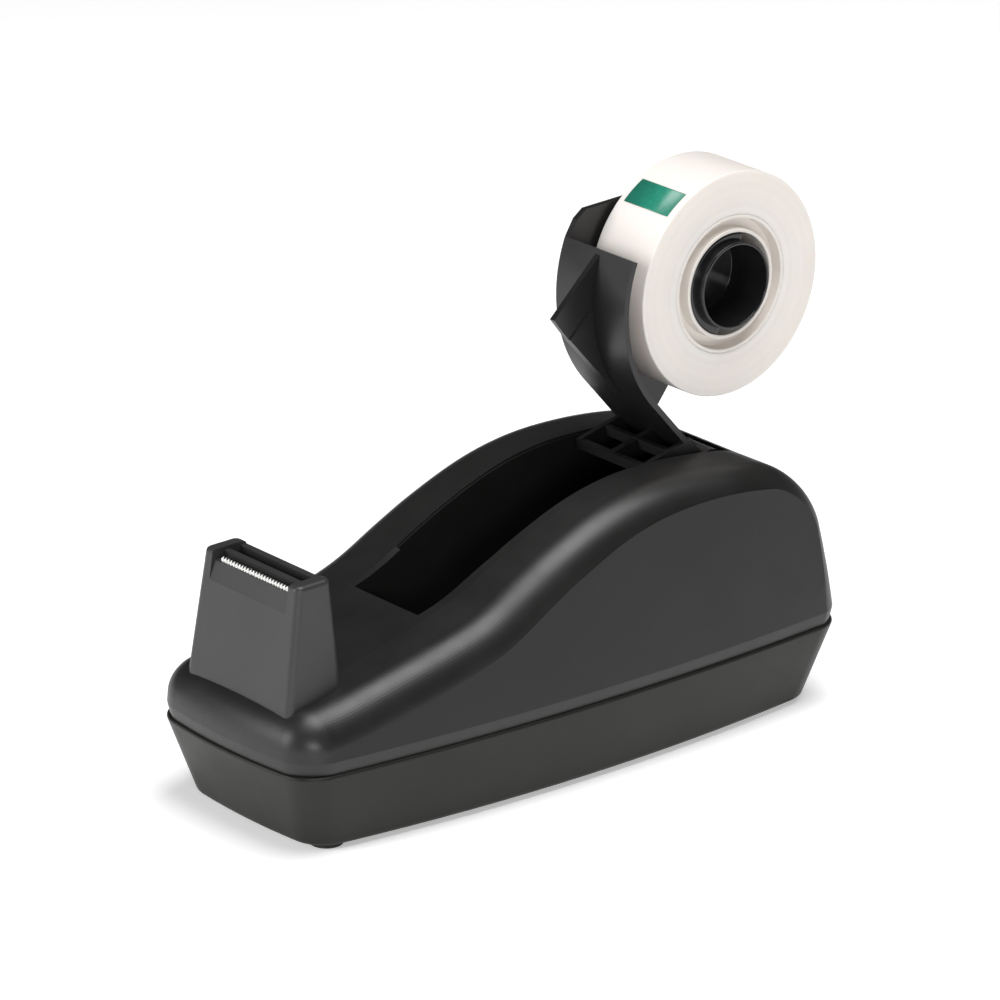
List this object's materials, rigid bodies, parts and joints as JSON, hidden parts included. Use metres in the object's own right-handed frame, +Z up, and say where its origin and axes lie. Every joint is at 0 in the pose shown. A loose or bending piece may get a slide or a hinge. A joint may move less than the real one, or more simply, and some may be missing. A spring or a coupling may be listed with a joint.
{
  "type": "desk tape dispenser",
  "caption": "Weighted desktop dispenser for pressure-sensitive tape: a moulded casing with a roll well, a toothed cutter on a front post and a flip-up rear arm carrying the roll on a spool hub.",
  "frame": {"origin": "on the desk plane, under the middle of the base footprint, on the casing's plane of symmetry", "axes": "+Z up; -X is the cutter end and +X the hinge end; +Y is the side of the arm's plate"},
  "size_m": [0.1763, 0.0756, 0.131],
  "materials": {
    "casing": "fine satin texture",
    "base": "satin, slightly olive",
    "foot": "matte",
    "zinc": "zinc plated",
    "iron": "as cast",
    "post": "satin",
    "blade": "bright",
    "pin": "ground",
    "arm": "fine satin texture",
    "nylon": "natural nylon",
    "hub": "glossy",
    "core": "moulded white",
    "tape": "wound translucent film",
    "label": "printed paper"
  },
  "bodies": {
    "casing": {"housing": "casing", "base_tray": "base", "foot_front_left": "foot", "foot_front_right": "foot", "foot_rear_left": "foot", "foot_rear_right": "foot", "base_screws": "zinc", "ballast_screws": "zinc", "post_screws": "zinc", "ballast_left": "iron", "ballast_right": "iron", "cutter_post": "post", "cutter_blade": "blade", "hinge_pin": "pin", "pin_clips": "pin"},
    "arm": {"roll_arm": "arm", "hub_axle": "pin", "friction_washer": "nylon", "hub_screw": "zinc"},
    "roll": {"roll_hub": "hub", "tape_core": "core", "wound_tape": "tape", "roll_label": "label"}
  },
  "joints": [
    {"name": "arm_hinge", "type": "hinge", "parent": "casing", "child": "arm", "pos_m": [0.057, 0, 0.06], "axis": [0, -1, 0], "range_deg": [0, 108]},
    {"name": "roll_spin", "type": "hinge", "parent": "arm", "child": "roll", "pos_m": [0.06519, 0, 0.10307], "axis": [0, -1, 0], "continuous": true}
  ]
}
